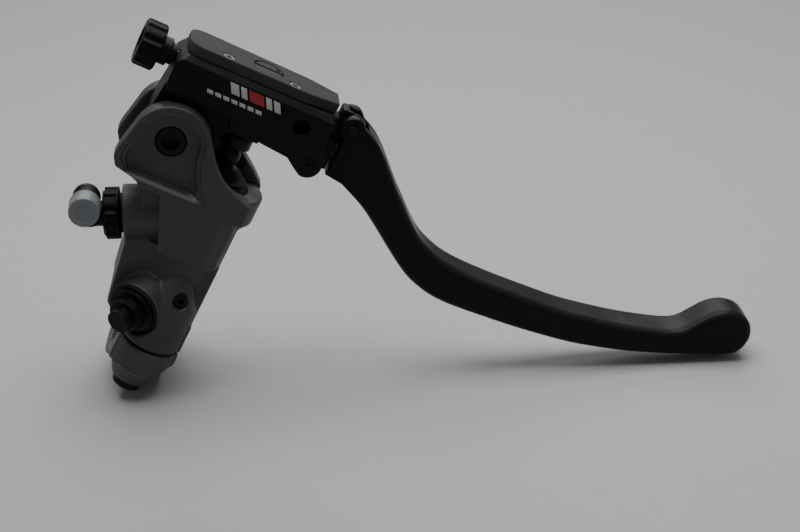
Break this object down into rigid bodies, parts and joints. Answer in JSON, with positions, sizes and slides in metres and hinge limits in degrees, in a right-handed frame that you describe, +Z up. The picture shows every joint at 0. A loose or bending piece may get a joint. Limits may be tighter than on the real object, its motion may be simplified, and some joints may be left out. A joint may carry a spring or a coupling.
{
  "type": "brake master cylinder",
  "caption": "Radial brake master cylinder with handlebar clamp, push-rod piston, lever pivoting in a cast fork, reach knob and a blade that folds forward.",
  "frame": {"origin": "centre of the handlebar clamp bore", "axes": "+X along the lever towards its tip, +Z up as the part stands on its clamp bolts and lever tip, +Y across the part, along the pivot pins"},
  "size_m": [0.2301, 0.055, 0.1271],
  "materials": {
    "body_casting": "hard-anodised dark titanium grey, fine blasted texture",
    "clamp_grey": "hard-anodised titanium grey, a little lighter than the casting",
    "black_steel": "black oxide on steel",
    "bronze": "plain bearing bronze",
    "hard_aluminium": "hard-anodised, ground",
    "seal_rubber": "smooth moulded rubber",
    "boot_rubber": "soft moulded rubber, matt",
    "spring_steel": "drawn spring wire",
    "bright_steel": "turned steel, zinc plated",
    "lever_black": "satin black anodised",
    "cover_grey": "satin dark grey anodised",
    "knob_black": "satin black anodised, fluted",
    "blade_black": "semi-gloss black anodised forging",
    "black_plastic": "moulded black plastic",
    "white_plastic": "milky translucent plastic",
    "inlay_plastic": "small printed inlay with plain pale and red bars, no mark"
  },
  "bodies": {
    "housing": {"cylinder_body": "body_casting", "clamp_cap": "clamp_grey", "clamp_bolts": "black_steel", "pivot_bolt": "black_steel", "pivot_nut": "black_steel", "return_spring": "spring_steel", "stop_washer": "bright_steel", "circlip": "black_steel", "dust_boot": "boot_rubber", "inlet_elbow": "black_plastic", "inlet_nut": "black_plastic", "inlet_seal": "seal_rubber", "inlet_cap": "white_plastic", "outlet_plug": "black_plastic", "outlet_washer": "seal_rubber", "gallery_plug": "black_steel"},
    "lever": {"lever_base": "lever_black", "pivot_bush": "bronze", "push_anvil": "black_steel", "front_cover": "cover_grey", "cover_screws": "bright_steel", "detent_ball": "bright_steel", "detent_spring": "spring_steel", "detent_grub": "black_steel", "reach_pin": "black_steel", "side_inlay": "inlay_plastic"},
    "plunger": {"piston": "hard_aluminium", "primary_cup": "seal_rubber", "secondary_cup": "seal_rubber", "pushrod": "black_steel"},
    "selector": {"ratio_selector": "black_steel"},
    "adjuster": {"reach_knob": "knob_black", "adjuster_screw": "black_steel"},
    "block": {"joint_block": "lever_black", "barrel_nut": "black_steel", "fold_pin": "black_steel", "fold_spring": "spring_steel"},
    "blade": {"lever_blade": "blade_black"}
  },
  "joints": [
    {"name": "lever_pull", "type": "hinge", "parent": "housing", "child": "lever", "pos_m": [0.01083, 0, 0.07103], "axis": [0, 1, 0], "range_deg": [0, 20], "stiffness_Nm_per_rad": 0.35, "springref_deg": -57.3},
    {"name": "piston_stroke", "type": "slide", "parent": "housing", "child": "plunger", "axis": [-0.4462, 0, -0.8949], "range_m": [0, 0.0074], "deforming": ["return_spring", "dust_boot"]},
    {"name": "ratio_turn", "type": "hinge", "parent": "lever", "child": "selector", "pos_m": [0.04212, -0.005, 0.08895], "axis": [0.4462, 0, 0.8949], "range_deg": [0, 180]},
    {"name": "reach_adjust", "type": "hinge", "parent": "lever", "child": "block", "pos_m": [0.05404, -0.005, 0.06178], "axis": [0, 1, 0], "range_deg": [-3.5, 3.5]},
    {"name": "knob_turn", "type": "hinge", "parent": "lever", "child": "adjuster", "pos_m": [0.00709, -0.005, 0.09938], "axis": [0.8949, 0, -0.4462], "range_deg": [-330, 330]},
    {"name": "blade_fold", "type": "hinge", "parent": "block", "child": "blade", "pos_m": [0.06919, -0.005, 0.07154], "axis": [0, -1, 0], "range_deg": [0, 65], "stiffness_Nm_per_rad": 0.4, "springref_deg": -68.75, "deforming": ["fold_spring"]}
  ],
  "couplings": [
    {"joint": "piston_stroke", "follows": "lever_pull", "m_per_rad": 0.020861},
    {"joint": "knob_turn", "follows": "reach_adjust", "ratio": 90}
  ]
}
